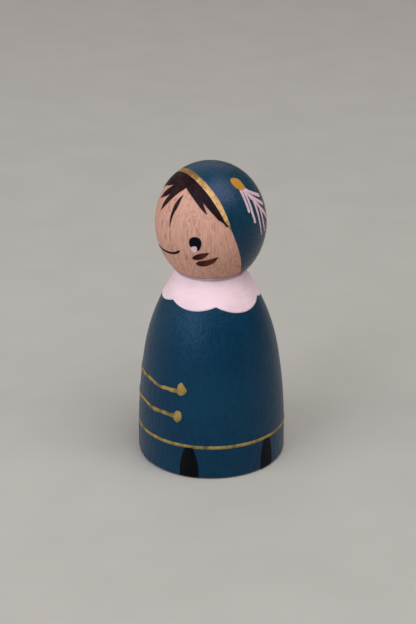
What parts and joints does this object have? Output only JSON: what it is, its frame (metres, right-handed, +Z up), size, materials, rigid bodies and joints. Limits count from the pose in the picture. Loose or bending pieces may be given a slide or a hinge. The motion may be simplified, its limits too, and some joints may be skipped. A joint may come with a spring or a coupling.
{
  "type": "peg doll",
  "caption": "Turned wooden peg doll with a flat base, rounded shoulder and oval head, painted with a cap, plume, fringe, winking face, scalloped collar and corded coat.",
  "frame": {"origin": "centre of the base, on the surface that the doll stands on", "axes": "+Z up along the turning axis, -Y the doll's front, where the cap's opening is centred, with the coat's cords centred 7 degrees to its right, +X towards the doll's left"},
  "size_m": [0.0294, 0.0294, 0.0599],
  "materials": {
    "beech": "satin",
    "coat_blue": "satin paint",
    "cap_teal": "satin paint",
    "collar_pink_white": "satin paint",
    "band_gold": "satin paint",
    "cord_gold": "satin paint",
    "hair_brown": "satin paint",
    "line_black": "satin paint",
    "glint_white": "satin paint",
    "lip_brown": "satin paint",
    "badge_ochre": "satin paint",
    "plume_white": "satin paint"
  },
  "bodies": {
    "root": {"wooden_peg": "beech", "coat_paint": "coat_blue", "cap_paint": "cap_teal", "collar_paint": "collar_pink_white", "cap_band": "band_gold", "upper_frog_cord": "cord_gold", "lower_frog_cord": "cord_gold", "upper_left_button": "cord_gold", "upper_right_button": "cord_gold", "lower_left_button": "cord_gold", "lower_right_button": "cord_gold", "hem_line": "cord_gold", "hair_fringe": "hair_brown", "loose_strand": "hair_brown", "open_eye": "line_black", "winking_eye": "line_black", "hem_wedge_1": "line_black", "hem_wedge_2": "line_black", "hem_wedge_3": "line_black", "hem_wedge_4": "line_black", "hem_wedge_5": "line_black", "eye_glint": "glint_white", "upper_lip": "lip_brown", "lower_lip": "lip_brown", "cap_badge": "badge_ochre", "feather_quill": "plume_white", "feather_barbs": "plume_white"}
  },
  "joints": []
}
